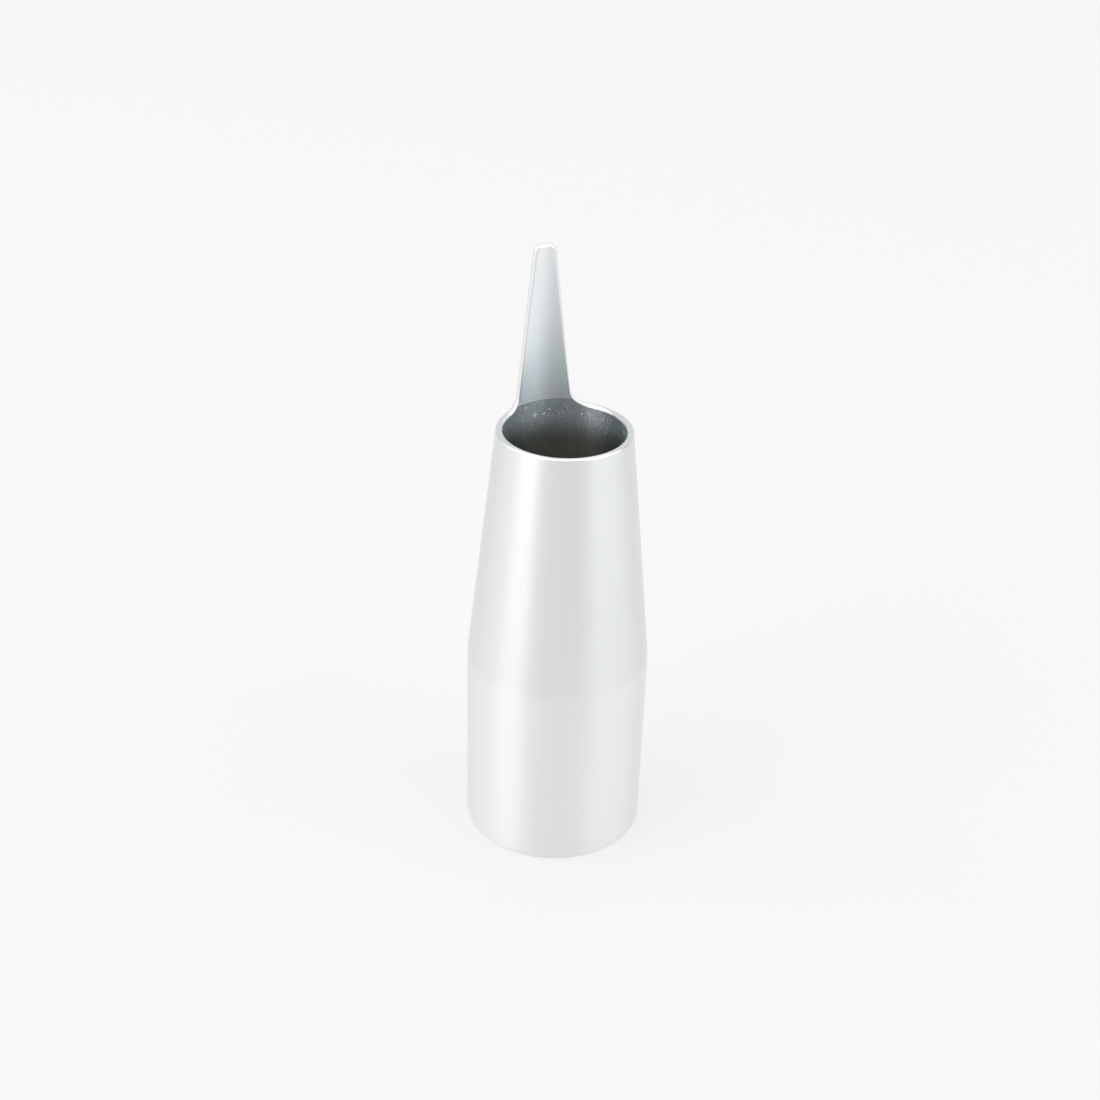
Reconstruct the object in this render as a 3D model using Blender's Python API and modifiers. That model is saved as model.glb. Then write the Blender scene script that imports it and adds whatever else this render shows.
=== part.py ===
"""Slip-on aluminium snoot for a round hand-held light handpiece.

A turned body carries a tapering stand-off finger on its rim. Inside the barrel a plastic
bush with two rubber rings grips the handpiece, and a spring ring holds the bush in.
Metres, +Z up along the bore, origin on the axis at the barrel's open end, finger on +Y.
"""
import math

import bmesh
import bpy

# Driving dimensions, in metres
HANDPIECE_RADIUS = 0.009525   # tube that the snoot slips onto, 19.05 mm across
SLIP_CLEARANCE = 0.000175     # bush bore to handpiece, on the radius
BUSH_WALL = 0.0026
BARREL_WALL = 0.0014
BARREL_LENGTH = 0.0304
CONE_LENGTH = 0.0378
SHOULDER_RADIUS = 0.010       # softened edge between barrel and cone
MOUTH_RADIUS = 0.00893
RIM_WALL = 0.00109
EDGE_CHAMFER = 0.0004         # both edges of the open end

FINGER_LENGTH = 0.0247
FINGER_ROOT_WIDTH = 0.0088    # between the straight sides, at the rim
FINGER_TIP_WIDTH = 0.0032     # between the straight sides, at the tip
ROOT_FILLET = 0.0023
TIP_CORNER = 0.0011
STRAIGHT_BORE_RISE = 0.00085  # the bore turns straight this far above the rim

LEDGE_DROP = 0.0019           # bush ledge below the shoulder
LEDGE_WIDTH = 0.0012
STOP_LIP_REACH = 0.000825     # bush lip inside the handpiece's radius
STOP_LIP_HEIGHT = 0.0016
BUSH_CHAMFER = 0.0005
BUSH_LEAD_IN = 0.0008

O_RING_CORD = 0.0016
O_RING_SQUEEZE = 0.000225     # ring bore inside the handpiece's radius
O_RING_FRONT_DROP = 0.0050    # ring centre below the bush's top
O_RING_REAR_RISE = 0.0050     # ring centre above the bush's foot

RING_INSET = 0.0016           # spring ring's lower face above the open end
RING_THICKNESS = 0.0012
RING_GROOVE_DEPTH = 0.00075
RING_BACK_WIDTH = 0.0022      # radial width opposite the gap
RING_END_WIDTH = 0.0015       # radial width beside the lugs
RING_GAP_HALF_ANGLE = math.radians(13.0)
LUG_ANGLE = math.radians(17.0)
LUG_HOLE_RADIUS = 0.0006

GAP = 0.0003                  # between neighbouring pieces

# Smoothness
BODY_STEPS = 96
BUSH_STEPS = 64
SEAL_STEPS = 48
SEAL_SIDES = 10
SHOULDER_STEPS = 3
FILLET_STEPS = 6
CORNER_STEPS = 5
RING_STEPS = 72
LUG_HOLE_STEPS = 12
MERGE = 0.00001

# Worked out from the driving dimensions
BUSH_BORE = HANDPIECE_RADIUS + SLIP_CLEARANCE
BUSH_RADIUS = BUSH_BORE + BUSH_WALL
SOCKET_RADIUS = BUSH_RADIUS + GAP
BARREL_RADIUS = SOCKET_RADIUS + BARREL_WALL
RIM_RADIUS = MOUTH_RADIUS + RIM_WALL
SHOULDER_Z = BARREL_LENGTH
RIM_Z = BARREL_LENGTH + CONE_LENGTH
TIP_Z = RIM_Z + FINGER_LENGTH
LEDGE_Z = SHOULDER_Z - LEDGE_DROP
LEDGE_BORE = SOCKET_RADIUS - LEDGE_WIDTH
RING_LOW = RING_INSET
RING_HIGH = RING_LOW + RING_THICKNESS
RING_GROOVE_RADIUS = SOCKET_RADIUS + RING_GROOVE_DEPTH
BUSH_FOOT = RING_HIGH + GAP
BUSH_TOP = LEDGE_Z - GAP
STOP_Z = BUSH_TOP - STOP_LIP_HEIGHT
STOP_BORE = HANDPIECE_RADIUS - STOP_LIP_REACH
O_RING_RADIUS = HANDPIECE_RADIUS - O_RING_SQUEEZE + O_RING_CORD / 2
O_RING_FRONT_Z = BUSH_TOP - O_RING_FRONT_DROP
O_RING_REAR_Z = BUSH_FOOT + O_RING_REAR_RISE
SEAL_GROOVE_RADIUS = O_RING_RADIUS + O_RING_CORD / 2 + GAP
SEAL_GROOVE_HALF = O_RING_CORD / 2 + GAP
BLANK_SPARE = 0.002           # blank left above the tip for the cutter to remove


def clear_scene():
    for item in list(bpy.data.objects):
        bpy.data.objects.remove(item, do_unlink=True)


def new_collection(name):
    group = bpy.data.collections.new(name)
    bpy.context.scene.collection.children.link(group)
    return group


def move_to(piece, group):
    for owner in list(piece.users_collection):
        owner.objects.unlink(piece)
    group.objects.link(piece)


def material(name, color, roughness, metallic):
    result = bpy.data.materials.new(name)
    result.use_nodes = True
    shader = result.node_tree.nodes["Principled BSDF"]
    shader.inputs["Base Color"].default_value = (*color, 1.0)
    shader.inputs["Roughness"].default_value = roughness
    shader.inputs["Metallic"].default_value = metallic
    return result


def arc(center, radius, start, end, steps):
    """Points on an arc of (x, z), from one angle to another, both ends included."""
    angles = [start + (end - start) * i / steps for i in range(steps + 1)]
    return [(center[0] + radius * math.cos(a), center[1] + radius * math.sin(a)) for a in angles]


def turned(name, group, profile, steps, finish):
    """A closed (radius, z) profile, outer side downwards, turned about Z."""
    mesh = bpy.data.meshes.new(name)
    count = len(profile)
    edges = [(i, (i + 1) % count) for i in range(count)]
    mesh.from_pydata([(r, 0.0, z) for r, z in profile], edges, [])
    piece = bpy.data.objects.new(name, mesh)
    group.objects.link(piece)
    screw = piece.modifiers.new("Turn", "SCREW")
    screw.axis = "Z"
    screw.steps = steps
    screw.render_steps = steps
    screw.use_merge_vertices = True
    screw.merge_threshold = MERGE
    screw.use_smooth_shade = True
    mesh.materials.append(finish)
    return piece


def flat_outline(name, group, loops, thickness, finish=None):
    """A plate with holes, from closed (x, y) loops, centred on its local XY plane."""
    curve = bpy.data.curves.new(name, "CURVE")
    curve.dimensions = "2D"
    curve.fill_mode = "BOTH"
    curve.extrude = thickness / 2
    for loop in loops:
        spline = curve.splines.new("POLY")
        spline.points.add(len(loop) - 1)
        for point, (x, y) in zip(spline.points, loop):
            point.co = (x, y, 0.0, 1.0)
        spline.use_cyclic_u = True
    piece = bpy.data.objects.new(name, curve)
    group.objects.link(piece)
    if finish:
        curve.materials.append(finish)
    return piece


def to_mesh(piece):
    """Replace a curve object by a mesh object of the same name and place, with its caps welded."""
    name = piece.name
    bpy.context.view_layer.update()
    graph = bpy.context.evaluated_depsgraph_get()
    mesh = bpy.data.meshes.new_from_object(piece.evaluated_get(graph))
    form = bmesh.new()
    form.from_mesh(mesh)
    bmesh.ops.remove_doubles(form, verts=form.verts, dist=MERGE)
    form.to_mesh(mesh)
    form.free()
    place = piece.matrix_world.copy()
    group = piece.users_collection[0]
    bpy.data.objects.remove(piece, do_unlink=True)
    mesh.name = name
    result = bpy.data.objects.new(name, mesh)
    group.objects.link(result)
    result.matrix_world = place
    return result


def as_cutter(piece):
    piece.hide_render = True
    piece.display_type = "WIRE"
    return piece


def cut(piece, cutter):
    step = piece.modifiers.new("Cut " + cutter.name, "BOOLEAN")
    step.operation = "DIFFERENCE"
    step.solver = "EXACT"
    step.object = cutter


def finger_outline():
    """The finger seen from the front, in (x, z): straight tapering sides, rounded tip corners,
    and fillets that run out level at the rim. It goes on below the rim, into the body."""
    half_root = FINGER_ROOT_WIDTH / 2
    half_tip = FINGER_TIP_WIDTH / 2
    lean = math.atan2(half_root - half_tip, FINGER_LENGTH)
    reach = (1 - math.sin(lean)) / math.cos(lean)
    corner = (half_tip - TIP_CORNER * reach, TIP_Z - TIP_CORNER)
    fillet = (half_root + ROOT_FILLET * reach, RIM_Z + ROOT_FILLET)
    right = [(fillet[0], RIM_Z - BLANK_SPARE)]
    right += arc(fillet, ROOT_FILLET, math.pi * 1.5, math.pi + lean, FILLET_STEPS)
    right += arc(corner, TIP_CORNER, lean, math.pi / 2, CORNER_STEPS)
    left = [(-x, z) for x, z in reversed(right)]
    return right + left


def make_finger_cutter(group):
    """A block above the rim with a pocket, open on +Y, in the finger's outline."""
    size = BARREL_RADIUS * 3  # clear of the body all round
    height = FINGER_LENGTH + 2 * BLANK_SPARE
    bpy.ops.mesh.primitive_cube_add(size=1.0, location=(0.0, 0.0, RIM_Z + height / 2))
    block = bpy.context.object
    block.name = "finger_cutter"
    block.scale = (size, size, height)
    move_to(block, group)
    keep = flat_outline("finger_keep", group, [finger_outline()], size)
    keep.rotation_euler = (math.pi / 2, 0.0, 0.0)
    keep.location = (0.0, size / 2, 0.0)
    keep = as_cutter(to_mesh(keep))
    cut(block, keep)
    return as_cutter(block)


def body_profile():
    """Outer side from the top of the blank down to the open end, then the bore back up."""
    slope = math.atan2(BARREL_RADIUS - RIM_RADIUS, CONE_LENGTH)
    center = (BARREL_RADIUS - SHOULDER_RADIUS, SHOULDER_Z - SHOULDER_RADIUS * math.tan(slope / 2))
    top = TIP_Z + BLANK_SPARE
    straight_z = RIM_Z + STRAIGHT_BORE_RISE
    outside = [(RIM_RADIUS, top), (RIM_RADIUS, RIM_Z)]
    outside += arc(center, SHOULDER_RADIUS, slope, 0.0, SHOULDER_STEPS)
    outside += [(BARREL_RADIUS, EDGE_CHAMFER), (BARREL_RADIUS - EDGE_CHAMFER, 0.0)]
    socket = [(SOCKET_RADIUS + EDGE_CHAMFER, 0.0), (SOCKET_RADIUS, EDGE_CHAMFER)]
    for z in (RING_LOW - GAP, RING_HIGH + GAP):
        inner = (SOCKET_RADIUS, z)
        outer = (RING_GROOVE_RADIUS, z)
        socket += [inner, outer] if z < RING_LOW else [outer, inner]
    bore = [(SOCKET_RADIUS, LEDGE_Z), (LEDGE_BORE, LEDGE_Z), (MOUTH_RADIUS, straight_z)]
    return outside + socket + bore + [(MOUTH_RADIUS, top)]


def make_body(group, cutters, finish):
    body = turned("snoot_body", group, body_profile(), BODY_STEPS, finish)
    cut(body, make_finger_cutter(cutters))
    return body


def make_bush(group, finish):
    """Liner with a stop lip at its top, a lead-in at its foot and two seal grooves."""
    profile = [
        (STOP_BORE, BUSH_TOP),
        (BUSH_RADIUS - BUSH_CHAMFER, BUSH_TOP),
        (BUSH_RADIUS, BUSH_TOP - BUSH_CHAMFER),
        (BUSH_RADIUS, BUSH_FOOT + BUSH_CHAMFER),
        (BUSH_RADIUS - BUSH_CHAMFER, BUSH_FOOT),
        (BUSH_BORE + BUSH_LEAD_IN, BUSH_FOOT),
        (BUSH_BORE, BUSH_FOOT + BUSH_LEAD_IN),
    ]
    for z in (O_RING_REAR_Z, O_RING_FRONT_Z):
        low = z - SEAL_GROOVE_HALF
        high = z + SEAL_GROOVE_HALF
        profile += [(BUSH_BORE, low), (SEAL_GROOVE_RADIUS, low)]
        profile += [(SEAL_GROOVE_RADIUS, high), (BUSH_BORE, high)]
    profile += [(BUSH_BORE, STOP_Z), (STOP_BORE, STOP_Z)]
    return turned("socket_bush", group, profile, BUSH_STEPS, finish)


def make_seal(name, group, z, finish):
    bpy.ops.mesh.primitive_torus_add(
        major_radius=O_RING_RADIUS,
        minor_radius=O_RING_CORD / 2,
        major_segments=SEAL_STEPS,
        minor_segments=SEAL_SIDES,
        location=(0.0, 0.0, z),
    )
    seal = bpy.context.object
    seal.name = name
    seal.data.name = name
    seal.data.materials.append(finish)
    seal.data.shade_smooth()
    move_to(seal, group)
    return seal


def polar(radius, angle):
    """A point in (x, y), with angle 0 on +Y."""
    return (-radius * math.sin(angle), radius * math.cos(angle))


def ring_outline():
    """An open ring: round outside, an inside that is widest at the back, and two lugs that
    reach in to the handpiece's clearance beside the gap."""
    outer = RING_GROOVE_RADIUS - GAP
    lug_inner = BUSH_BORE
    start = RING_GAP_HALF_ANGLE
    lug_end = start + LUG_ANGLE
    shares = [i / RING_STEPS for i in range(RING_STEPS + 1)]
    outside = [polar(outer, start + (2 * math.pi - 2 * start) * share) for share in shares]
    inside = []
    for way_round in shares:
        angle = lug_end + (2 * math.pi - 2 * lug_end) * way_round
        share = (1 - math.cos(angle)) / 2
        width = RING_END_WIDTH + (RING_BACK_WIDTH - RING_END_WIDTH) * share
        inside.append(polar(outer - width, angle))
    inside.reverse()
    far_lug = [polar(lug_inner, 2 * math.pi - start), polar(lug_inner, 2 * math.pi - lug_end)]
    near_lug = [polar(lug_inner, lug_end), polar(lug_inner, start)]
    return outside + far_lug + inside + near_lug


def lug_hole(side):
    """A round hole in the middle of one lug; side is 1 or -1."""
    middle = (RING_GROOVE_RADIUS - GAP + BUSH_BORE) / 2
    x, y = polar(middle, side * (RING_GAP_HALF_ANGLE + LUG_ANGLE / 2))
    turn = [2 * math.pi * i / LUG_HOLE_STEPS for i in range(LUG_HOLE_STEPS)]
    return [(x + LUG_HOLE_RADIUS * math.cos(a), y + LUG_HOLE_RADIUS * math.sin(a)) for a in turn]


def make_retaining_ring(group, finish):
    loops = [ring_outline(), lug_hole(1), lug_hole(-1)]
    ring = flat_outline("retaining_ring", group, loops, RING_THICKNESS, finish)
    ring.location = (0.0, 0.0, (RING_LOW + RING_HIGH) / 2)
    return to_mesh(ring)


def main():
    clear_scene()
    parts = new_collection("snoot")
    cutters = new_collection("cutters")
    aluminium = material("satin_aluminium", (0.80, 0.81, 0.82), 0.32, 1.0)
    plastic = material("bush_plastic", (0.05, 0.05, 0.055), 0.45, 0.0)
    rubber = material("seal_rubber", (0.02, 0.02, 0.02), 0.7, 0.0)
    steel = material("spring_steel", (0.28, 0.27, 0.26), 0.35, 1.0)
    make_body(parts, cutters, aluminium)
    make_bush(parts, plastic)
    make_seal("o_ring_front", parts, O_RING_FRONT_Z, rubber)
    make_seal("o_ring_rear", parts, O_RING_REAR_Z, rubber)
    make_retaining_ring(parts, steel)


main()
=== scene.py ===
"""Finished looks of a slip-on aluminium snoot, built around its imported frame."""

import math
from types import SimpleNamespace

import bpy
import numpy as np
from bpy.props import FloatProperty, FloatVectorProperty, IntProperty, PointerProperty
from mathutils import Matrix, Vector


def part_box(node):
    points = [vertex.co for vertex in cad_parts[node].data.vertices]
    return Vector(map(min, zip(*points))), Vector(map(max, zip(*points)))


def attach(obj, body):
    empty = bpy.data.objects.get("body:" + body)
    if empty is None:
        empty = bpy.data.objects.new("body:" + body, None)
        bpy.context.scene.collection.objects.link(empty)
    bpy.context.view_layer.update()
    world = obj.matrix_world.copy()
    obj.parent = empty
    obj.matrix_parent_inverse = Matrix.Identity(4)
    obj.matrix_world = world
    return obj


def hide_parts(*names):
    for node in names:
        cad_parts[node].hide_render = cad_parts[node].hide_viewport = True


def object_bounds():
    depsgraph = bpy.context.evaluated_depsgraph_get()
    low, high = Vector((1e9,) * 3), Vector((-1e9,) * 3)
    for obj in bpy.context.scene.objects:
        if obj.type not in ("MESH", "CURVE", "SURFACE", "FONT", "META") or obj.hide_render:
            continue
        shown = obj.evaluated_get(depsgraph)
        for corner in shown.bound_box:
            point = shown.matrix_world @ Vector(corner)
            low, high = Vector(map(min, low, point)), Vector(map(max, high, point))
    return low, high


bl_info = {
    "name": "Slip-on Snoot",
    "version": (1, 0, 0),
    "blender": (4, 5, 0),
    "location": "3D View > Sidebar > Snoot",
    "description": "Builds a turned aluminium snoot with its bush and seals, and a stage for it",
    "category": "Add Mesh",
}

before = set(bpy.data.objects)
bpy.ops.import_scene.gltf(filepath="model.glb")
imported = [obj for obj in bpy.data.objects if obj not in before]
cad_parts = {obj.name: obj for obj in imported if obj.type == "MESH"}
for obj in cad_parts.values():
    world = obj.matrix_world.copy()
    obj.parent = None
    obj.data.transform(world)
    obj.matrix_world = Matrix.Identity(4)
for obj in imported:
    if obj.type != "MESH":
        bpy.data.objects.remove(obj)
CAD_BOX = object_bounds()
BODY_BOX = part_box("snoot_body")
BUSH_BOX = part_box("socket_bush")
RING_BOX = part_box("retaining_ring")
SEAL_NODES = ("o_ring_front", "o_ring_rear")
MM = 0.001


# ---------------------------------------------------------------- settings


def length(name, description, default):
    """A size property in metres."""
    return FloatProperty(
        name=name, description=description, default=default, min=0.0, precision=5, unit="LENGTH"
    )


def share(name, description, default):
    """A property from 0 to 1."""
    return FloatProperty(
        name=name, description=description, default=default, min=0.0, max=1.0, subtype="FACTOR"
    )


def turn(name, description, degrees):
    """An angle property."""
    return FloatProperty(
        name=name, description=description, default=math.radians(degrees), unit="ROTATION"
    )


def count(name, description, default):
    """A whole number property."""
    return IntProperty(name=name, description=description, default=default, min=3)


def color(name, description, default):
    """A colour property."""
    return FloatVectorProperty(
        name=name, description=description, default=default, size=3, subtype="COLOR"
    )


class SnootSizes(bpy.types.PropertyGroup):
    """Sizes of the turned body and what it holds."""

    barrel_radius: length("Barrel Radius", "Outside of the barrel", BODY_BOX[1].x)
    tip_height: length("Tip Height", "Top of the finger", BODY_BOX[1].z)
    shoulder_height: length("Shoulder Height", "Where the cone starts", 30.4 * MM)
    shoulder_blend: length("Shoulder Blend", "Softened each side of the shoulder", 1.2 * MM)
    rim_height: length("Rim Height", "Top of the cone", 68.2 * MM)
    mouth_radius: length("Mouth Radius", "Straight bore at the mouth", 8.93 * MM)
    rim_wall: length("Rim Wall", "Thickness at the mouth", 1.09 * MM)
    inner_edge: length("Inner Edge", "Rounding on the bore side of the rim", 0.42 * MM)
    outer_edge: length("Outer Edge", "Rounding on the outside of the rim", 0.28 * MM)
    foot_edge: length("Foot Edge", "Rounding at the open end", 0.4 * MM)
    finger_root_width: length("Finger Root Width", "Between the straight sides", 8.8 * MM)
    finger_tip_width: length("Finger Tip Width", "Between the straight sides", 3.2 * MM)
    root_fillet: length("Root Fillet", "Where the finger meets the rim", 2.3 * MM)
    tip_corner: length("Tip Corner", "Rounding of the finger's corners", 1.1 * MM)
    straight_rise: length("Straight Bore Rise", "Bore turns straight above the rim", 0.85 * MM)
    crease_half: length("Crease Half", "From that line to the grid rows beside it", 0.05 * MM)
    shared_drop: length("Shared Drop", "From the rim to the first row that is level", 4.0 * MM)
    column_blend: length("Column Blend", "Over which the grid's columns turn upright", 20.0 * MM)
    ledge_height: length("Ledge Height", "Seat above the bush", 28.5 * MM)
    ledge_width: length("Ledge Width", "Radial width of that seat", 1.2 * MM)
    socket_radius: length("Socket Radius", "Bore of the barrel", 12.6 * MM)
    ledge_edge: length("Ledge Edge", "Rounding of that seat", 0.15 * MM)
    groove_depth: length("Groove Depth", "Spring ring's groove", 0.75 * MM)
    groove_edge: length("Groove Edge", "Rounding at the mouth of every groove", 0.08 * MM)
    groove_root: length("Groove Root", "Rounding at the bottom of a seal's groove", 0.15 * MM)
    bush_bore: length("Bush Bore", "Radius of the plastic bore", 9.7 * MM)
    stop_bore: length("Stop Bore", "Radius inside the bush's lip", 8.7 * MM)
    stop_height: length("Stop Height", "Thickness of the bush's lip", 1.6 * MM)
    stop_edge: length("Stop Edge", "Rounding under the lip, at its bore", 0.2 * MM)
    stop_root: length("Stop Root", "Rounding under the lip, at the bush's bore", 0.12 * MM)
    lip_edge: length("Lip Edge", "Rounding over the lip", 0.25 * MM)
    bush_edge: length("Bush Edge", "Rounding of the bush's outer corners", 0.6 * MM)
    lead_in: length("Lead-in", "Chamfer at the bush's foot", 0.8 * MM)
    lead_edge: length("Lead-in Edge", "Rounding of that chamfer", 0.2 * MM)
    seal_cord: length("Seal Cord", "Thickness of the rubber rings", 1.6 * MM)
    mould_ridge: length("Mould Ridge", "Height of the seals' moulding line", 0.012 * MM)
    gap: length("Gap", "Space between neighbouring pieces", 0.3 * MM)
    longest_step: length("Longest Step", "Between rows of the body's grid", 2.5 * MM)
    longest_bush_step: length("Longest Bush Step", "Between rows of the bush's grid", 2.0 * MM)
    steps_round: count("Steps Round", "Points round the bush and the seals", 144)
    steps_cord: count("Steps Cord", "Points round a seal's cord", 40)


class SnootFinish(bpy.types.PropertyGroup):
    """Colours and finishes."""

    metal: color("Aluminium", "Satin turned aluminium", (0.815, 0.833, 0.83))
    # Painted light: the barrel's metal is drawn a little brighter than the cone, to make up for the
    # shade that its rougher finish reflects.
    barrel: color("Barrel", "The same, a little brighter where it is blasted", (0.855, 0.868, 0.863))
    # The finger's face is drawn from the face colour at its tip to a darker, cooler colour at its
    # root: painted shade, where the root reflects the dark bore.
    face: color("Finger Face", "Finger's inner face, towards its tip", (0.835, 0.85, 0.865))
    face_root_shade: color("Finger Face Root", "The same face at its root", (0.765, 0.845, 0.88))
    # Painted shade: the bore's metal is drawn from the bright mouth colour to a darker, yellower
    # bore colour with depth, where shade falls deep in the bore.
    mouth: color("Mouth", "Bright metal just inside the mouth", (0.745, 0.835, 0.865))
    bore: color("Bore", "Duller, yellower metal further in", (0.40, 0.415, 0.37))
    # Painted highlight: the flecks near the mouth and the line along the crease are drawn
    # near-white. The flecks are also really rougher spots in the metal.
    painted_glint: color("Glint", "Flecks at the mouth and the line of the crease", (0.96, 0.97, 0.98))
    crease_blend: length("Crease Blend", "Half the width of that line", 0.08 * MM)
    barrel_blend: length("Barrel Blend", "Half the height over which the barrel pales", 1.5 * MM)
    scratch_top: length("Scratch Top", "Highest scratch above the crease", 4.0 * MM)
    scratch_full: length("Scratch Full", "Where the scratches are at their strongest", 1.5 * MM)
    reamed_start: length("Reamed Start", "Depth where the bore starts to be smoother", 2.0 * MM)
    reamed_end: length("Reamed End", "Depth where it is at its smoothest", 6.5 * MM)
    # Depths over which that painted shade in the bore deepens.
    shade_start: length("Fade Start", "Depth where the bright metal starts to dull", 2.8 * MM)
    shade_end: length("Fade End", "Depth where it has dulled", 7.8 * MM)
    metal_roughness: share("Aluminium Roughness", "Satin cone and finger", 0.38)
    barrel_roughness: share("Barrel Roughness", "Blasted barrel", 0.42)
    face_roughness: share("Face Roughness", "Inner face of the finger", 0.43)
    mouth_roughness: share("Mouth Roughness", "Turned inside, near the mouth", 0.36)
    bore_roughness: share("Bore Roughness", "Turned inside, past the mouth", 0.315)
    edge_roughness: share("Edge Roughness", "Rounded edges", 0.32)
    cloud_drift: share("Cloud Drift", "Roughness that the clouds add or take", 0.06)
    grain_drift: share("Grain Drift", "Roughness that the blasted grain adds or takes", 0.04)
    ring_drift: share("Ring Drift", "Roughness that the bore's rings add or take", 0.10)
    fleck_roughness: share("Fleck Roughness", "Added in the flecks", 0.19)
    crease_roughness: share("Crease Roughness", "Added along the crease", 0.25)
    grain: share("Grain", "How far the turned rings stretch a highlight", 0.84)
    plastic_roughness: share("Plastic Roughness", "Between the feed lines", 0.38)
    feed_roughness: share("Feed Roughness", "Added on the feed lines", 0.18)
    rubber_roughness: share("Rubber Roughness", "Clean rubber", 0.58)
    dust_roughness: share("Dust Roughness", "Added where it is dusty", 0.22)
    steel_roughness: share("Steel Roughness", "Bare spring steel", 0.26)
    oil_roughness: share("Oil Roughness", "Added by the patchy film of oil", 0.22)
    roll_roughness: share("Roll Roughness", "Added by the rolled sheet's grain", 0.06)
    plastic: color("Bush Plastic", "Machined black plastic", (0.028, 0.028, 0.031))
    rubber: color("Rubber", "Moulded seal rubber", (0.016, 0.016, 0.017))
    steel: color("Spring Steel", "Oiled dark steel", (0.21, 0.20, 0.19))
    oil: color("Oil", "Where the film of oil is thickest", (0.13, 0.125, 0.14))


class SnootStage(bpy.types.PropertyGroup):
    """Camera, floor and lights."""

    camera_azimuth: turn("Camera Azimuth", "From straight in front of the finger", -22.9)
    camera_range: length("Camera Range", "Level distance from the axis", 221.6 * MM)
    camera_height: length("Camera Height", "Above the floor", 176.0 * MM)
    camera_pan: turn("Camera Pan", "To the right of the axis", -0.422)
    camera_tilt: turn("Camera Tilt", "Downwards", 30.02)
    camera_roll: turn("Camera Roll", "Clockwise lean of the object", 1.7155)
    camera_lens: FloatProperty(name="Lens", description="Focal length in millimetres", default=55.72)
    camera_sensor: FloatProperty(name="Sensor", description="Width in millimetres", default=36.0)
    camera_nearest: length("Camera Nearest", "Closer things aren't drawn", 10.0 * MM)
    light_range: length("Light Range", "From the snoot to each softbox", 1.6)
    floor_tone: share("Floor Tone", "How pale the floor is", 0.20)
    floor_glow: share("Floor Glow", "Light that comes up through the floor", 0.64)
    far_glow: share("Far Glow", "The same, out where the softboxes no longer reach", 0.77)
    near_floor: length("Near Floor", "Where the glow starts to grow", 1.2)
    far_floor: length("Far Floor", "Where it has grown", 3.6)
    floor_reach: length("Floor Reach", "From the middle to each side", 4.0)
    surround: share("Surround", "Light from all round", 0.58)
    backdrop: share("Backdrop", "How pale the room behind looks", 0.93)


# ---------------------------------------------------------------- shader maths


class Wire:
    """A material output socket that takes part in Python arithmetic."""

    def __init__(self, tree, socket):
        self.tree = tree
        self.socket = socket

    def math(self, operation, *values):
        """A Math node on wires or numbers."""
        return self.tree.node("ShaderNodeMath", {"operation": operation}, dict(enumerate(values)))

    def __add__(self, other):
        return self.math("ADD", self, other)

    __radd__ = __add__

    def __sub__(self, other):
        return self.math("SUBTRACT", self, other)

    def __rsub__(self, other):
        return self.math("SUBTRACT", other, self)

    def __mul__(self, other):
        return self.math("MULTIPLY", self, other)

    __rmul__ = __mul__

    def ramp(self, low, high):
        """0 at low, 1 at high, and smooth between them; low may be the greater of the two."""
        settings = {"interpolation_type": "SMOOTHSTEP"}
        inputs = {"Value": self, "From Min": low, "From Max": high}
        return self.tree.node("ShaderNodeMapRange", settings, inputs)


class Tree:
    """The nodes of one material or world. All but the output come from the node method."""

    def __init__(self, owner):
        owner.use_nodes = True
        self.owner = owner
        self.nodes = owner.node_tree.nodes
        self.links = owner.node_tree.links
        self.nodes.clear()

    def node(self, kind, settings=None, inputs=None, output=0):
        """A node's output, once its settings and then the values or links of its sockets are
        set."""
        made = self.nodes.new(kind)
        for key, value in (settings or {}).items():
            setattr(made, key, value)
        for key, value in (inputs or {}).items():
            if isinstance(value, Wire):
                self.links.new(value.socket, made.inputs[key])
            else:
                made.inputs[key].default_value = value
        return Wire(self, made.outputs[output])

    def place(self):
        """Object coordinates, in metres."""
        return self.node("ShaderNodeTexCoord", output="Object")

    def height(self):
        """The Z of Object coordinates."""
        return self.node("ShaderNodeSeparateXYZ", inputs={0: self.place()}, output=2)

    def distance(self):
        """How far a point is from the origin."""
        settings = {"operation": "LENGTH"}
        return self.node("ShaderNodeVectorMath", settings, {0: self.place()}, output="Value")

    def noise(self, features, detail=2.0, roughness=0.5):
        """Noise from 0 to 1, with so many features a millimetre along X, Y and Z."""
        factors = {0: self.place(), 1: tuple(number / MM for number in features)}
        point = self.node("ShaderNodeVectorMath", {"operation": "MULTIPLY"}, factors)
        inputs = {"Vector": point, "Scale": 1.0, "Detail": detail, "Roughness": roughness}
        return self.node("ShaderNodeTexNoise", inputs=inputs)

    def attribute(self, name):
        """A value that the mesh holds at each of its points."""
        return self.node("ShaderNodeAttribute", {"attribute_name": name}, output="Fac")

    def mix(self, factor, first, second):
        """A blend of two colours."""
        inputs = {"Factor": factor, 6: opaque(first), 7: opaque(second)}
        return self.node("ShaderNodeMix", {"data_type": "RGBA"}, inputs, output=2)

    def bump(self, height, strength, distance):
        """A normal from a height from 0 to 1, which stands for a distance in metres."""
        inputs = {"Height": height, "Strength": strength, "Distance": distance}
        return self.node("ShaderNodeBump", inputs=inputs)

    def surface(self, inputs):
        """The shader that every piece and the floor are made of."""
        return self.node("ShaderNodeBsdfPrincipled", inputs=inputs)

    def show(self, shader, output="ShaderNodeOutputMaterial"):
        """Send a shader to the output, and give back the material or world."""
        self.links.new(shader.socket, self.nodes.new(output).inputs["Surface"])
        return self.owner


def new_tree(name):
    """The tree of a new material."""
    return Tree(bpy.data.materials.new(name))


def opaque(value):
    """A colour with its alpha; a wire stays as it is."""
    return value if isinstance(value, Wire) else (*value[:3], 1.0)


def tinted(value, factor):
    """A colour made darker or lighter."""
    return tuple(min(1.0, part * factor) for part in value)


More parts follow.
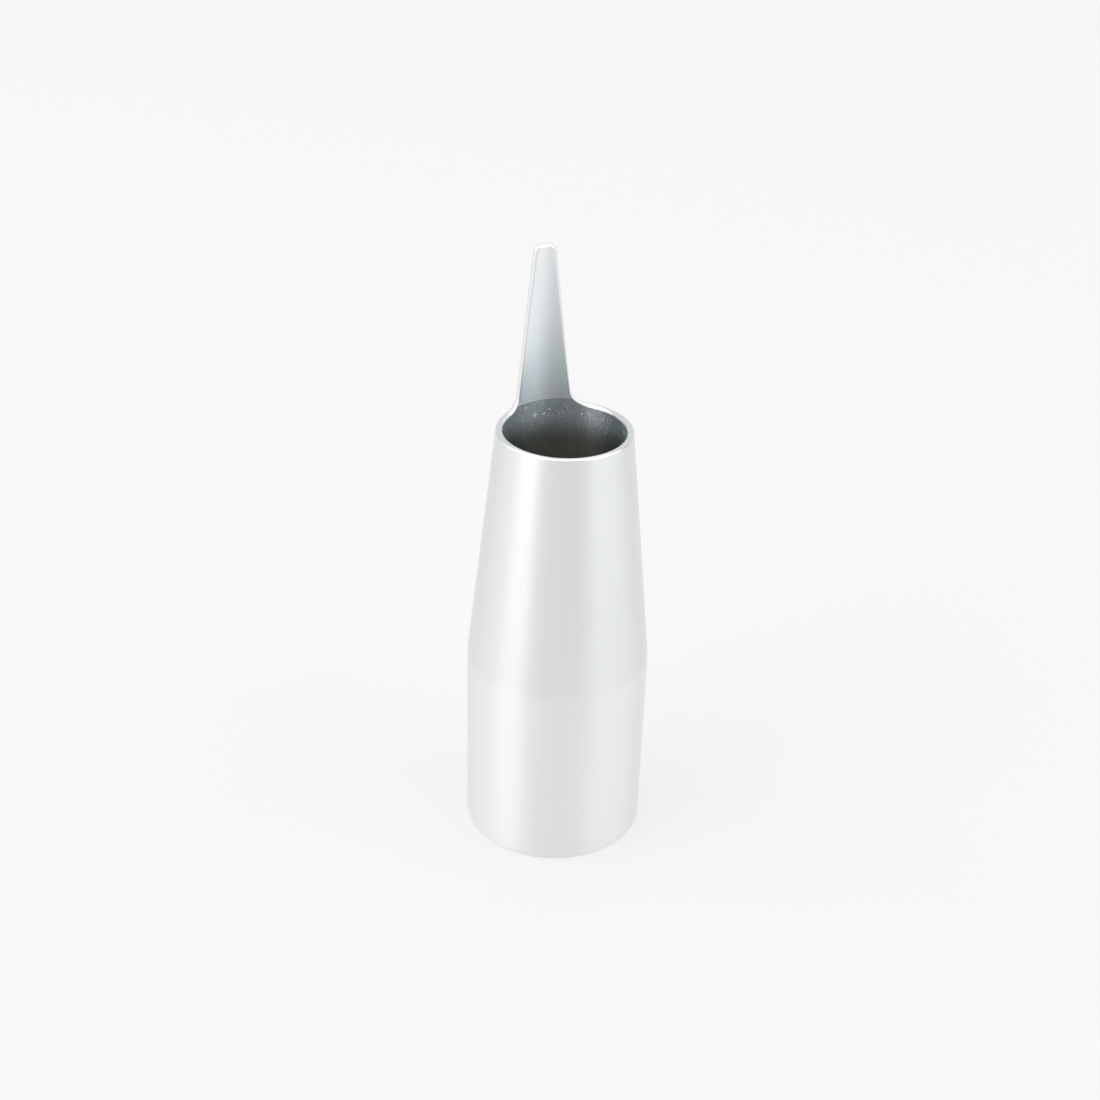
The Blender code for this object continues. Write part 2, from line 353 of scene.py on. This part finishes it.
def body_zones(tree, sizes, finish):
    """Where each finish of the body lies, from 0 to 1.

    The inside is the finger's face above the crease line and the bore below it, and the crease
    is where the two overlap. Reamed and depth_shade grow with depth in the bore, and depth_shade
    lays painted shade on the bore further in; rise grows towards the finger's tip and carries the
    painted shade of the face's root; and low is the stretch of its face where the scratches lie.
    """
    height = tree.height()
    inside = tree.attribute("bore")
    line = sizes.rim_height + sizes.straight_rise
    above = height.ramp(line - finish.crease_blend, line + finish.crease_blend)
    bore = inside * (1 - above)
    depth = line - height
    shoulder = sizes.shoulder_height
    return SimpleNamespace(
        bore=bore,
        face=inside * above,
        crease=bore * above * 4.0,
        edge=tree.attribute("edge"),
        barrel=height.ramp(shoulder + finish.barrel_blend, shoulder - finish.barrel_blend),
        reamed=depth.ramp(finish.reamed_start, finish.reamed_end),
        depth_shade=depth.ramp(finish.shade_start, finish.shade_end),
        rise=height.ramp(line, sizes.tip_height - sizes.tip_corner),
        low=height.ramp(line + finish.scratch_top, line + finish.scratch_full),
    )


def body_grain(tree):
    """The metal's noises: rings round the axis, blasted grain, clouds from handling, brushing
    up the finger, scratches across its root, and flecks."""
    return SimpleNamespace(
        rings=tree.noise((0.42, 0.42, 9.0), 2.0, 0.55),
        blasted=tree.noise((3.6, 3.6, 3.6), 2.0, 0.6),
        clouds=tree.noise((0.12, 0.12, 0.06), 3.0, 0.55),
        brushing=tree.noise((2.4, 2.4, 0.09), 2.0, 0.6).ramp(0.35, 0.75),
        scratches=tree.noise((0.35, 0.35, 12.0), 2.0, 0.5).ramp(0.54, 0.64),
        flecks=tree.noise((2.6, 2.6, 2.6), 1.0, 0.5).ramp(0.635, 0.685),
    )


def aluminium_roughness(zone, grain, finish):
    """Satin outside, rougher on the barrel and on the finger's face. Inside, smoother where it
    is reamed, and rougher in the flecks and along the crease."""
    drift = (grain.clouds - 0.5) * finish.cloud_drift
    barrel = zone.barrel * (finish.barrel_roughness - finish.metal_roughness)
    speckle = (grain.blasted - 0.5) * finish.grain_drift
    outside = finish.metal_roughness + barrel + drift + speckle
    polish = zone.reamed * (finish.bore_roughness - finish.mouth_roughness)
    turning = (grain.rings - 0.5) * finish.ring_drift
    flecks = grain.flecks * (1 - zone.reamed) * finish.fleck_roughness
    crease = zone.crease * finish.crease_roughness
    inside = finish.mouth_roughness + polish + drift + turning + flecks + crease
    roughness = outside * (1 - zone.bore) + inside * zone.bore
    roughness = roughness + zone.face * (finish.face_roughness - finish.metal_roughness)
    return roughness * (1 - zone.edge) + zone.edge * finish.edge_roughness


def aluminium_tone(tree, zone, grain, finish):
    """The colours of the zones, laid over each other, with painted light among them: painted shade
    darkening the finger's face towards its root and the bore further in, and the barrel painted
    brighter. Then brushing, scratches, a painted highlight on the edges, and painted glints in the
    flecks and along the crease."""
    tone = tree.mix(grain.clouds.ramp(0.35, 0.65), tinted(finish.metal, 0.99), finish.metal)
    # Painted light: the barrel is drawn brighter below the shoulder.
    tone = tree.mix(zone.barrel, tone, finish.barrel)
    # Painted shade: the finger's face darkens and cools from its tip down to its root.
    tone = tree.mix(zone.face, tone, tree.mix(zone.rise, finish.face_root_shade, finish.face))
    # Painted shade: the bore darkens with depth from the mouth colour to the bore colour.
    tone = tree.mix(zone.bore, tone, tree.mix(zone.depth_shade, finish.mouth, finish.bore))
    tone = tree.mix(zone.face * grain.brushing * 0.5, tone, tinted(finish.face_root_shade, 0.96))
    tone = tree.mix(zone.face * zone.low * grain.scratches, tone, tinted(finish.face, 1.14))
    # Painted highlight: the rounded edges are drawn a shade brighter than the metal.
    tone = tree.mix(zone.edge, tone, tinted(finish.metal, 1.01))
    # Painted glints: the flecks, whose extra roughness is real, and the crease line are drawn
    # near-white in place of highlights.
    flecks = zone.bore * grain.flecks * (1 - zone.reamed) * 0.75
    return tree.mix(flecks + zone.crease, tone, finish.painted_glint)


def satin_aluminium(sizes, finish):
    """Turned aluminium. Its rings round the axis stretch its highlights lengthwise, so the
    anisotropy is a quarter turn from the shader's own direction."""
    tree = new_tree("satin_aluminium")
    zone = body_zones(tree, sizes, finish)
    grain = body_grain(tree)
    relief = grain.rings * (0.4 + zone.bore * 0.6) + grain.blasted * 0.3
    surface = tree.surface(
        {
            "Base Color": aluminium_tone(tree, zone, grain, finish),
            "Metallic": 1.0,
            "Roughness": aluminium_roughness(zone, grain, finish),
            "Anisotropic": finish.grain,
            "Anisotropic Rotation": 0.25,
            "Normal": tree.bump(relief, 0.15, 0.02 * MM),
        }
    )
    return tree.show(surface)


def machined_plastic(finish):
    """Black bearing plastic: feed lines round the axis and a faint milky wear."""
    tree = new_tree("machined_plastic")
    rings = tree.noise((0.3, 0.3, 7.0), 2.0, 0.5)
    clouds = tree.noise((0.26, 0.26, 0.18), 3.0, 0.6)
    tone = tree.mix(clouds.ramp(0.45, 0.75), finish.plastic, tinted(finish.plastic, 1.9))
    surface = tree.surface(
        {
            "Base Color": tone,
            "Roughness": finish.plastic_roughness + rings * finish.feed_roughness,
            "Normal": tree.bump(rings, 0.35, 0.03 * MM),
        }
    )
    return tree.show(surface)


def moulded_rubber(finish):
    """Matt seal rubber: a fine pebbled skin with dusty patches."""
    tree = new_tree("moulded_rubber")
    skin = tree.noise((5.2, 5.2, 5.2), 2.0, 0.5)
    dust = tree.noise((0.7, 0.7, 0.7), 4.0, 0.6).ramp(0.5, 0.8)
    tone = tree.mix(dust, finish.rubber, tinted(finish.rubber, 2.6))
    surface = tree.surface(
        {
            "Base Color": tone,
            "Roughness": finish.rubber_roughness + dust * finish.dust_roughness,
            "Normal": tree.bump(skin, 0.3, 0.03 * MM),
        }
    )
    return tree.show(surface)


def oiled_steel(finish):
    """Dark spring steel: a rolled sheet's grain along X under a patchy film of oil."""
    tree = new_tree("oiled_steel")
    grain = tree.noise((0.9, 5.2, 5.2), 2.0, 0.6)
    clouds = tree.noise((0.45, 0.45, 0.45), 3.0, 0.6)
    tone = tree.mix(clouds.ramp(0.35, 0.7), finish.steel, finish.oil)
    roughness = finish.steel_roughness + clouds * finish.oil_roughness
    surface = tree.surface(
        {
            "Base Color": tone,
            "Metallic": 1.0,
            "Roughness": roughness + grain * finish.roll_roughness,
            "Normal": tree.bump(grain, 0.3, 0.02 * MM),
        }
    )
    return tree.show(surface)


def pale_floor(stage):
    """A matt white table, lit from below as well as from above, with a faint tooth. Its glow
    grows towards the far edges, and from underneath it can be seen through."""
    tree = new_tree("pale_floor")
    tooth = tree.noise((0.9, 0.9, 0.9), 3.0, 0.6)
    shade = (stage.floor_tone,) * 3
    far = tree.distance().ramp(stage.near_floor, stage.far_floor)
    top = tree.surface(
        {
            "Base Color": tree.mix(tooth, tinted(shade, 0.995), tinted(shade, 1.005)),
            "Roughness": 0.9,
            "Specular IOR Level": 0.1,
            "Emission Color": tree.mix(far, (stage.floor_glow,) * 3, (stage.far_glow,) * 3),
            "Emission Strength": 1.0,
        }
    )
    under = tree.node("ShaderNodeNewGeometry", output="Backfacing")
    clear = tree.node("ShaderNodeBsdfTransparent")
    return tree.show(tree.node("ShaderNodeMixShader", inputs={0: under, 1: top, 2: clear}))


def soft_room(stage):
    """Even light from all round, which looks as pale as the floor where it is seen directly."""
    tree = Tree(bpy.data.worlds.new("soft_room"))
    seen = tree.node("ShaderNodeLightPath", output="Is Camera Ray")
    strength = stage.surround + seen * (stage.backdrop - stage.surround)
    white = (1.0, 1.0, 1.0, 1.0)
    light = tree.node("ShaderNodeBackground", inputs={"Color": white, "Strength": strength})
    return tree.show(light, "ShaderNodeOutputWorld")


# ---------------------------------------------------------------- surfaces


# Points along each stretch of the body's top edge and over that edge, and rows of points above
# and below the crease line on the outer and the inner wall
TIP_POINTS = 6
CORNER_POINTS = 13
SIDE_POINTS = 74
FILLET_POINTS = 29
BACK_POINTS = 100
EDGE_POINTS = 9
OUTER_ROWS = (10, 6)
INNER_ROWS = (10, 8)
SOFT_POINTS = 5  # along a rounded corner of a section
RIDGE_SPREAD = 0.12  # of a seal's moulding line, as the sine of an angle


def grid_quads(rows, columns):
    """Corner indices of a grid that closes on itself both ways."""
    row, column = np.meshgrid(np.arange(rows), np.arange(columns), indexing="ij")
    below = (row + 1) % rows
    beside = (column + 1) % columns
    corners = (
        row * columns + column,
        row * columns + beside,
        below * columns + beside,
        below * columns + column,
    )
    return np.stack(corners, -1).reshape(-1, 4)


def enclosed(points, quads):
    """Six times the volume inside the quads, negative where they face inwards."""
    a, b, c, d = (points[quads[:, i]] for i in range(4))
    return np.einsum("ij,ij->", a, np.cross(b, c)) + np.einsum("ij,ij->", a, np.cross(c, d))


def mesh_piece(name, points, material, attributes=None):
    """A closed piece from a grid of points, rows by columns by 3, that wraps both ways."""
    rows, columns = points.shape[:2]
    flat = points.reshape(-1, 3)
    quads = grid_quads(rows, columns)
    if enclosed(flat, quads) < 0:
        quads = quads[:, ::-1]
    mesh = bpy.data.meshes.new(name)
    mesh.vertices.add(len(flat))
    mesh.vertices.foreach_set("co", flat.astype(np.float32).ravel())
    mesh.loops.add(quads.size)
    mesh.loops.foreach_set("vertex_index", quads.astype(np.int32).ravel())
    mesh.polygons.add(len(quads))
    mesh.polygons.foreach_set("loop_start", np.arange(0, quads.size, 4, dtype=np.int32))
    mesh.polygons.foreach_set("loop_total", np.full(len(quads), 4, dtype=np.int32))
    for key, values in (attributes or {}).items():
        layer = mesh.attributes.new(key, "FLOAT", "POINT")
        layer.data.foreach_set("value", values.astype(np.float32).ravel())
    mesh.update(calc_edges=True)
    mesh.shade_smooth()
    mesh.materials.append(material)
    piece = bpy.data.objects.new(name, mesh)
    bpy.context.scene.collection.objects.link(piece)
    return piece


def settle(piece, slot, *nodes):
    """Put a finished piece on the part's one body, in place of its frame nodes."""
    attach(piece, "root")
    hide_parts(*nodes)
    return piece


def corner(point, before, after, radius):
    """A rounded corner of (radius, z): a quadratic curve from one side to the other, with
    the corner as its middle control point and its ends one radius away."""
    point, before, after = (np.array(p, float) for p in (point, before, after))
    start = point + (before - point) * radius / np.linalg.norm(before - point)
    end = point + (after - point) * radius / np.linalg.norm(after - point)
    t = np.linspace(0.0, 1.0, SOFT_POINTS)[:, None]
    return (1 - t) ** 2 * start + 2 * t * (1 - t) * point + t**2 * end


def soft_line(corners, longest):
    """An open line through (point, radius) pairs, with each inner corner rounded by its radius
    and no step longer than asked."""
    points = [point for point, _ in corners]
    runs = [[points[0]]]
    for i in range(1, len(points) - 1):
        runs.append(corner(points[i], points[i - 1], points[i + 1], corners[i][1]))
    runs.append([points[-1]])
    line = np.concatenate([np.array(run, float) for run in runs])
    made = [line[:1]]
    for start, end in zip(line[:-1], line[1:]):
        pieces = max(1, math.ceil(np.linalg.norm(end - start) / longest))
        t = np.linspace(0.0, 1.0, pieces + 1)[1:, None]
        made.append(start + (end - start) * t)
    return np.concatenate(made)


def soft_loop(corners, longest):
    """A closed line, which starts and ends half way between its last corner and its first."""
    middle = (np.array(corners[-1][0]) + np.array(corners[0][0])) / 2
    return soft_line([(middle, None), *corners, (middle, None)], longest)[:-1]


def ramp_01(value):
    """A smooth step from 0 to 1."""
    value = np.clip(value, 0.0, 1.0)
    return value * value * (3 - 2 * value)


def edge_path(sizes):
    """Half of the top edge seen from the front, from the middle of the finger's tip to the back.

    The finger's part is (x, z) with the outward direction in that plane: level at the tip, an
    arc at the corner, a straight side, and an arc at the root that runs out level at the rim.
    The rest is the rim itself, as a share of the way round to the back.
    """
    half_root = sizes.finger_root_width / 2
    half_tip = sizes.finger_tip_width / 2
    lean = math.atan2(half_root - half_tip, sizes.tip_height - sizes.rim_height)
    reach = (1 - math.sin(lean)) / math.cos(lean)
    top_x = half_tip - sizes.tip_corner * reach
    top_z = sizes.tip_height - sizes.tip_corner
    root_x = half_root + sizes.root_fillet * reach
    root_z = sizes.rim_height + sizes.root_fillet
    bend = np.linspace(math.pi / 2, lean, CORNER_POINTS)
    sweep = np.linspace(math.pi + lean, math.pi * 1.5, FILLET_POINTS)
    level = np.linspace(0.0, top_x, TIP_POINTS)[:-1]
    tip = (top_x + sizes.tip_corner * np.cos(bend), top_z + sizes.tip_corner * np.sin(bend))
    root = (root_x + sizes.root_fillet * np.cos(sweep), root_z + sizes.root_fillet * np.sin(sweep))
    side = np.linspace(0.0, 1.0, SIDE_POINTS)[1:-1]
    x = [level, tip[0], tip[0][-1] + (root[0][0] - tip[0][-1]) * side, root[0]]
    z = [np.full_like(level, sizes.tip_height), tip[1]]
    z += [tip[1][-1] + (root[1][0] - tip[1][-1]) * side, root[1]]
    angle = [np.full_like(level, math.pi / 2), bend, np.full_like(side, lean), sweep - math.pi]
    back = np.linspace(0.0, 1.0, BACK_POINTS)[1:]
    x, z, angle = (np.concatenate(part) for part in (x, z, angle))
    return {
        "x": np.concatenate([x, np.full_like(back, x[-1])]),
        "z": np.concatenate([z, np.full_like(back, sizes.rim_height)]),
        "nx": np.concatenate([np.cos(angle), np.zeros_like(back)]),
        "nz": np.concatenate([np.sin(angle), np.ones_like(back)]),
        "back": np.concatenate([np.zeros_like(x), back]),
    }


def round_angle(path, radius, depth):
    """The angle from +Y at which the path, moved in by a depth, meets a cylinder.

    On the finger the outline is cut straight through along Y, so x is the same on every
    cylinder; round the back the angle is the named share of what is left.
    """
    finger = np.arcsin(np.clip((path["x"] - depth * path["nx"]) / radius, -1.0, 1.0))
    return finger + (math.pi - finger) * path["back"]


def bore_radius(sizes, z):
    """Straight above a line just over the rim, and a cone that widens down to the ledge."""
    line = sizes.rim_height + sizes.straight_rise
    widest = sizes.socket_radius - sizes.ledge_width
    slope = (widest - sizes.mouth_radius) / (line - sizes.ledge_height)
    return sizes.mouth_radius + slope * np.maximum(0.0, line - z)


def cone_radius(sizes, z):
    """Straight up the back of the finger, and the outer cone below the rim."""
    rim = sizes.mouth_radius + sizes.rim_wall
    slope = (sizes.barrel_radius - rim) / (sizes.rim_height - sizes.shoulder_height)
    return rim + slope * np.maximum(0.0, sizes.rim_height - z)


def wall_rows(top, line, floor, close, rows):
    """Heights down one wall of every column: from the top to a crease line, a close pair of
    rows on the crease, and on down to a level floor. Where the top is under the line, the
    rows close up beneath the top."""
    above, below = rows
    high = np.minimum(line + close, top - close)
    low = np.minimum(line - close, high - close)
    t = np.linspace(0.0, 1.0, above + 1)[1:, None]
    upper = top + (high - top) * t
    t = np.linspace(0.0, 1.0, below + 1)[:, None]
    lower = low + (floor - low) * t
    return np.concatenate([upper, lower])


def shared_section(sizes, base):
    """The (radius, z) line that every column of the body shares below a level row: down the
    cone and the barrel, under the foot, up the socket with the spring ring's groove, in over
    the ledge, and up the bore to the same row."""
    groove = sizes.socket_radius + sizes.groove_depth
    groove_low = RING_BOX[0].z - sizes.gap
    groove_high = RING_BOX[1].z + sizes.gap
    ledge_bore = bore_radius(sizes, sizes.ledge_height)
    corners = [
        ((cone_radius(sizes, base), base), None),
        ((sizes.barrel_radius, sizes.shoulder_height), sizes.shoulder_blend),
        ((sizes.barrel_radius, 0.0), sizes.foot_edge),
        ((sizes.socket_radius, 0.0), sizes.foot_edge),
        ((sizes.socket_radius, groove_low), sizes.groove_edge),
        ((groove, groove_low), sizes.groove_edge),
        ((groove, groove_high), sizes.groove_edge),
        ((sizes.socket_radius, groove_high), sizes.groove_edge),
        ((sizes.socket_radius, sizes.ledge_height), sizes.ledge_edge),
        ((ledge_bore, sizes.ledge_height), sizes.ledge_edge),
        ((bore_radius(sizes, base), base), None),
    ]
    return soft_line(corners, sizes.longest_step)


def shell_points(sizes):
    """The body as one grid: each column is a whole section of the wall, from the bore, over the
    top edge, down the outside, under the foot and back up the socket; the columns go round."""
    path = edge_path(sizes)
    inner_top = path["z"] - sizes.inner_edge * path["nz"]
    outer_top = path["z"] - sizes.outer_edge * path["nz"]
    inner_r = bore_radius(sizes, inner_top)
    outer_r = cone_radius(sizes, outer_top)
    inner_turn = round_angle(path, inner_r, sizes.inner_edge)
    outer_turn = round_angle(path, outer_r, sizes.outer_edge)
    mean_turn = (inner_turn + outer_turn) / 2
    columns, edge, bore = [], [], []

    def add(radius, angle, z, is_edge, is_bore):
        radius = np.broadcast_to(radius, path["x"].shape)
        z = np.broadcast_to(z, path["x"].shape)
        columns.append(np.stack([radius * np.sin(angle), radius * np.cos(angle), z], -1))
        edge.append(np.full(path["x"].shape, is_edge))
        bore.append(np.full(path["x"].shape, is_bore))

    # over the top edge, from the bore side to the outside
    quarter = np.linspace(0.0, math.pi / 2, EDGE_POINTS)
    over = [(inner_r, sizes.inner_edge, 1.0, a) for a in quarter]
    over += [(outer_r, sizes.outer_edge, -1.0, a) for a in quarter[::-1]]
    for wall, size, way, a in over:
        radius = wall + way * size * (1 - math.cos(a))
        depth = size * (1 - math.sin(a))
        z = path["z"] - depth * path["nz"]
        add(radius, round_angle(path, radius, depth), z, 1.0, 0.5 if way > 0 else 0.0)

    # down the outside of the cone to a level row
    base = sizes.rim_height - sizes.shared_drop
    for z in wall_rows(outer_top, sizes.rim_height, base, sizes.crease_half, OUTER_ROWS):
        add(cone_radius(sizes, z), outer_turn, z, 0.0, 0.0)

    # the section that every column shares, whose columns turn upright on the way down
    profile = shared_section(sizes, base)
    lowest = int(np.argmin(profile[:, 1] + np.abs(profile[:, 0] - sizes.socket_radius)))
    for i, (radius, z) in enumerate(profile[1:-1], start=1):
        side = outer_turn if i < lowest else inner_turn
        blend = ramp_01((base - z) / sizes.column_blend)
        angle = side + (mean_turn - side) * blend
        add(radius, angle, z, 0.0, 0.0 if i < lowest else 1.0)

    # back up the bore to the top edge
    line = sizes.rim_height + sizes.straight_rise
    for z in wall_rows(inner_top, line, base, sizes.crease_half, INNER_ROWS)[::-1]:
        add(bore_radius(sizes, z), inner_turn, z, 0.0, 1.0)

    half = np.stack(columns, 1)
    marks = [np.stack(values, 1) for values in (edge, bore)]
    mirrored = half[1:-1][::-1] * np.array([-1.0, 1.0, 1.0])
    points = np.concatenate([half, mirrored])
    edge, bore = (np.concatenate([m, m[1:-1][::-1]]) for m in marks)
    return points, edge, bore


def turned_points(profile, steps):
    """A closed (radius, z) profile carried round Z: x = r cos a, y = r sin a."""
    angle = np.linspace(0.0, 2 * math.pi, steps, endpoint=False)[:, None]
    radius, z = profile[:, 0], profile[:, 1]
    x = radius * np.cos(angle)
    y = radius * np.sin(angle)
    return np.stack([x, y, np.broadcast_to(z, x.shape)], -1)


def bush_profile(sizes):
    """The liner's section: outside down, lead-in, two seal grooves, the stop lip, and the top."""
    radius, foot, top = BUSH_BOX[1].x, BUSH_BOX[0].z, BUSH_BOX[1].z
    stop = top - sizes.stop_height
    seat = sizes.seal_cord / 2 + sizes.gap
    corners = [
        ((sizes.stop_bore, top), sizes.lip_edge),
        ((radius, top), sizes.bush_edge),
        ((radius, foot), sizes.bush_edge),
        ((sizes.bush_bore + sizes.lead_in, foot), sizes.lead_edge),
        ((sizes.bush_bore, foot + sizes.lead_in), sizes.lead_edge),
    ]
    for node in reversed(SEAL_NODES):
        low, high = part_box(node)
        middle = (low.z + high.z) / 2
        groove = high.x + sizes.gap
        corners += [
            ((sizes.bush_bore, middle - seat), sizes.groove_edge),
            ((groove, middle - seat), sizes.groove_root),
            ((groove, middle + seat), sizes.groove_root),
            ((sizes.bush_bore, middle + seat), sizes.groove_edge),
        ]
    corners += [
        ((sizes.bush_bore, stop), sizes.stop_root),
        ((sizes.stop_bore, stop), sizes.stop_edge),
    ]
    return soft_loop(corners, sizes.longest_bush_step)


def seal_profile(sizes, node):
    """A round cord's section. A low moulding line, a bell curve in the angle from the level,
    stands on its outer and its inner side."""
    low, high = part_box(node)
    cord = sizes.seal_cord / 2
    angle = np.linspace(0.0, 2 * math.pi, sizes.steps_cord, endpoint=False)
    ridge = sizes.mould_ridge * np.exp(-((np.sin(angle) / RIDGE_SPREAD) ** 2))
    radius = cord - sizes.mould_ridge + ridge
    center = high.x - cord
    middle = (low.z + high.z) / 2
    return np.stack([center + radius * np.cos(angle), middle - radius * np.sin(angle)], -1)


# ---------------------------------------------------------------- operators


class SNOOT_OT_shell(bpy.types.Operator):
    """Build the aluminium barrel, cone and stand-off finger as one turned shell"""

    bl_idname = "snoot.shell"
    bl_label = "Aluminium Shell"
    bl_options = {"REGISTER", "UNDO"}

    def execute(self, context):
        sizes = context.scene.snoot_sizes
        points, edge, bore = shell_points(sizes)
        metal = satin_aluminium(sizes, context.scene.snoot_finish)
        shell = mesh_piece("snoot_shell", points, metal, {"edge": edge, "bore": bore})
        settle(shell, "body_aluminium", "snoot_body")
        return {"FINISHED"}


class SNOOT_OT_bush(bpy.types.Operator):
    """Build the plastic liner that the handpiece slides into"""

    bl_idname = "snoot.bush"
    bl_label = "Socket Bush"
    bl_options = {"REGISTER", "UNDO"}

    def execute(self, context):
        sizes = context.scene.snoot_sizes
        points = turned_points(bush_profile(sizes), sizes.steps_round)
        bush = mesh_piece("socket_liner", points, machined_plastic(context.scene.snoot_finish))
        settle(bush, "bush_plastic", "socket_bush")
        return {"FINISHED"}


class SNOOT_OT_seals(bpy.types.Operator):
    """Build the two rubber rings that grip the handpiece"""

    bl_idname = "snoot.seals"
    bl_label = "Seal Rings"
    bl_options = {"REGISTER", "UNDO"}

    def execute(self, context):
        sizes = context.scene.snoot_sizes
        rubber = moulded_rubber(context.scene.snoot_finish)
        for node in SEAL_NODES:
            points = turned_points(seal_profile(sizes, node), sizes.steps_round)
            seal = mesh_piece(node.replace("o_ring", "seal"), points, rubber)
            settle(seal, "seal_rubber", node)
        return {"FINISHED"}


class SNOOT_OT_spring_ring(bpy.types.Operator):
    """Give the spring ring its oiled steel"""

    bl_idname = "snoot.spring_ring"
    bl_label = "Spring Ring"
    bl_options = {"REGISTER", "UNDO"}

    def execute(self, context):
        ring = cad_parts["retaining_ring"]
        steel = oiled_steel(context.scene.snoot_finish)
        for place in ring.material_slots:
            place.material = steel
        return {"FINISHED"}


# Each softbox: its azimuth and elevation in degrees, its width and height in metres, its
# radiance and its tint. The azimuth is from the camera's side, positive to its right.
SOFTBOXES = {
    "key_left": (-57.0, 30.0, 1.0, 1.33, 2.3, (1.0, 0.975, 1.0)),
    "side_left": (-96.0, 30.0, 1.0, 1.33, 1.10, (1.0, 1.0, 1.0)),
    "fill_right": (74.0, 30.0, 1.85, 1.33, 1.15, (0.985, 0.985, 1.0)),
    "back_wall": (180.0, 25.0, 3.0, 1.2, 0.22, (1.0, 1.0, 1.0)),
    "overhead": (0.0, 90.0, 2.3, 2.3, 1.35, (1.0, 1.0, 1.0)),
}


def softbox(name, azimuth, elevation, width, height, radiance, tint):
    """A wide flat light aimed at the snoot, as bright as asked wherever it is seen mirrored.

    A flat light of area A that sends out P watts has a radiance of P / (pi A).
    """
    stage = bpy.context.scene.snoot_stage
    heading = stage.camera_azimuth + math.radians(azimuth)
    climb = math.radians(elevation)
    level = math.cos(climb)
    toward = Vector((math.sin(heading) * level, -math.cos(heading) * level, math.sin(climb)))
    lamp = bpy.data.lights.new(name, "AREA")
    lamp.shape = "RECTANGLE"
    lamp.size = width
    lamp.size_y = height
    lamp.energy = radiance * math.pi * width * height
    lamp.color = tint
    light = bpy.data.objects.new(name, lamp)
    light.location = toward * stage.light_range + Vector((0.0, 0.0, CAD_BOX[1].z / 2))
    light.rotation_euler = toward.to_track_quat("Z", "Y").to_euler()
    light.visible_camera = False
    bpy.context.scene.collection.objects.link(light)
    return light


class SNOOT_OT_stage(bpy.types.Operator):
    """Set out the pale floor, the soft lights and the camera"""

    bl_idname = "snoot.stage"
    bl_label = "Stage"
    bl_options = {"REGISTER", "UNDO"}

    def execute(self, context):
        stage = context.scene.snoot_stage
        self.floor(stage)
        context.scene.world = soft_room(stage)
        context.scene.view_settings.view_transform = "Standard"
        for name, facts in SOFTBOXES.items():
            softbox(name, *facts)
        self.camera(context.scene, stage)
        return {"FINISHED"}

    def floor(self, stage):
        """Lay a square round the origin, at the height that the snoot stands on."""
        reach = stage.floor_reach
        corners = [(-reach, -reach, 0.0), (reach, -reach, 0.0)]
        corners += [(reach, reach, 0.0), (-reach, reach, 0.0)]
        mesh = bpy.data.meshes.new("floor")
        mesh.from_pydata(corners, [], [(0, 1, 2, 3)])
        mesh.materials.append(pale_floor(stage))
        floor = bpy.data.objects.new("floor", mesh)
        bpy.context.scene.collection.objects.link(floor)

    def camera(self, scene, stage):
        """Stand back at the azimuth, look at the axis, then pan, tilt and roll."""
        azimuth = stage.camera_azimuth
        toward = Vector((math.sin(azimuth), -math.cos(azimuth), 0.0))
        place = toward * stage.camera_range + Vector((0.0, 0.0, stage.camera_height))
        heading = Matrix.Rotation(azimuth - stage.camera_pan, 3, "Z")
        pitch = Matrix.Rotation(math.pi / 2 - stage.camera_tilt, 3, "X")
        roll = Matrix.Rotation(stage.camera_roll, 3, "Z")
        lens = bpy.data.cameras.new("camera")
        lens.lens = stage.camera_lens
        lens.sensor_width = stage.camera_sensor
        lens.clip_start = stage.camera_nearest
        camera = bpy.data.objects.new("camera", lens)
        camera.matrix_world = Matrix.Translation(place) @ (heading @ pitch @ roll).to_4x4()
        scene.collection.objects.link(camera)
        scene.camera = camera


class SNOOT_PT_panel(bpy.types.Panel):
    """Buttons for the snoot's pieces and its stage"""

    bl_idname = "SNOOT_PT_panel"
    bl_label = "Snoot"
    bl_space_type = "VIEW_3D"
    bl_region_type = "UI"
    bl_category = "Snoot"

    def draw(self, context):
        for operator in OPERATORS:
            self.layout.operator(operator.bl_idname)


OPERATORS = (
    SNOOT_OT_shell,
    SNOOT_OT_bush,
    SNOOT_OT_seals,
    SNOOT_OT_spring_ring,
    SNOOT_OT_stage,
)
GROUPS = {"snoot_sizes": SnootSizes, "snoot_finish": SnootFinish, "snoot_stage": SnootStage}


def register():
    for group in GROUPS.values():
        bpy.utils.register_class(group)
    for name, group in GROUPS.items():
        setattr(bpy.types.Scene, name, PointerProperty(type=group))
    for operator in OPERATORS:
        bpy.utils.register_class(operator)
    bpy.utils.register_class(SNOOT_PT_panel)


def unregister():
    bpy.utils.unregister_class(SNOOT_PT_panel)
    for operator in reversed(OPERATORS):
        bpy.utils.unregister_class(operator)
    for name, group in GROUPS.items():
        delattr(bpy.types.Scene, name)
        bpy.utils.unregister_class(group)


def main():
    """Build every piece and the stage."""
    register()
    bpy.ops.snoot.shell()
    bpy.ops.snoot.bush()
    bpy.ops.snoot.seals()
    bpy.ops.snoot.spring_ring()
    bpy.ops.snoot.stage()


if __name__ == "__main__":
    main()
